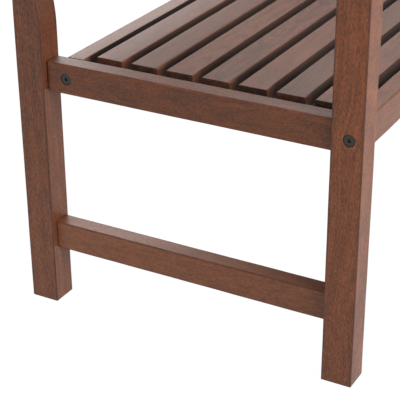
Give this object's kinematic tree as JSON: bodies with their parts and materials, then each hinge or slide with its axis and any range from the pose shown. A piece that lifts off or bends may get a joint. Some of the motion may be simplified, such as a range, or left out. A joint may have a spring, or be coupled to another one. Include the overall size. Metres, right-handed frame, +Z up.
{
  "type": "two-seater wooden garden bench",
  "caption": "Stained hardwood garden bench with a slatted seat, a raked slatted back and flat armrests, bolted up from glued end frames.",
  "frame": {"origin": "middle of the bench's footprint box, on the floor", "axes": "+X along the seat to the right as seen from the front, +Y from the front to the back, +Z up"},
  "size_m": [1.174, 0.658, 0.85],
  "materials": {
    "frame_wood": "mid-brown stained and oiled hardwood, open grained, satin",
    "slat_wood": "mid-brown stained and oiled hardwood slats, open grained, satin",
    "black_bolt": "black oxide steel with a hexagon socket",
    "zinc_fixing": "bright zinc plated steel"
  },
  "bodies": {
    "root": {"front_leg_left": "frame_wood", "front_leg_right": "frame_wood", "rear_leg_left": "frame_wood", "rear_leg_right": "frame_wood", "side_rail_left": "frame_wood", "side_rail_right": "frame_wood", "stretcher_left": "frame_wood", "stretcher_right": "frame_wood", "armrest_left": "frame_wood", "armrest_right": "frame_wood", "front_rail": "frame_wood", "rear_rail": "frame_wood", "seat_batten_left": "frame_wood", "seat_batten_centre": "frame_wood", "seat_batten_right": "frame_wood", "seat_slat_1": "slat_wood", "seat_slat_2": "slat_wood", "seat_slat_3": "slat_wood", "seat_slat_4": "slat_wood", "seat_slat_5": "slat_wood", "seat_slat_6": "slat_wood", "seat_slat_7": "slat_wood", "back_top_rail": "frame_wood", "back_bottom_rail": "frame_wood", "back_slat_1": "slat_wood", "back_slat_2": "slat_wood", "back_slat_3": "slat_wood", "back_slat_4": "slat_wood", "back_slat_5": "slat_wood", "back_slat_6": "slat_wood", "back_slat_7": "slat_wood", "back_slat_8": "slat_wood", "back_slat_9": "slat_wood", "back_slat_10": "slat_wood", "back_slat_11": "slat_wood", "front_rail_bolt_left": "black_bolt", "front_rail_bolt_right": "black_bolt", "rear_rail_bolt_left": "black_bolt", "rear_rail_bolt_right": "black_bolt", "back_top_bolt_left": "black_bolt", "back_top_bolt_right": "black_bolt", "back_bottom_bolt_left": "black_bolt", "back_bottom_bolt_right": "black_bolt", "front_rail_nut_left": "zinc_fixing", "front_rail_nut_right": "zinc_fixing", "rear_rail_nut_left": "zinc_fixing", "rear_rail_nut_right": "zinc_fixing", "back_top_nut_left": "zinc_fixing", "back_top_nut_right": "zinc_fixing", "back_bottom_nut_left": "zinc_fixing", "back_bottom_nut_right": "zinc_fixing", "slat_screw_1": "zinc_fixing", "slat_screw_2": "zinc_fixing", "slat_screw_3": "zinc_fixing", "slat_screw_4": "zinc_fixing", "slat_screw_5": "zinc_fixing", "slat_screw_6": "zinc_fixing", "slat_screw_7": "zinc_fixing"}
  },
  "joints": []
}
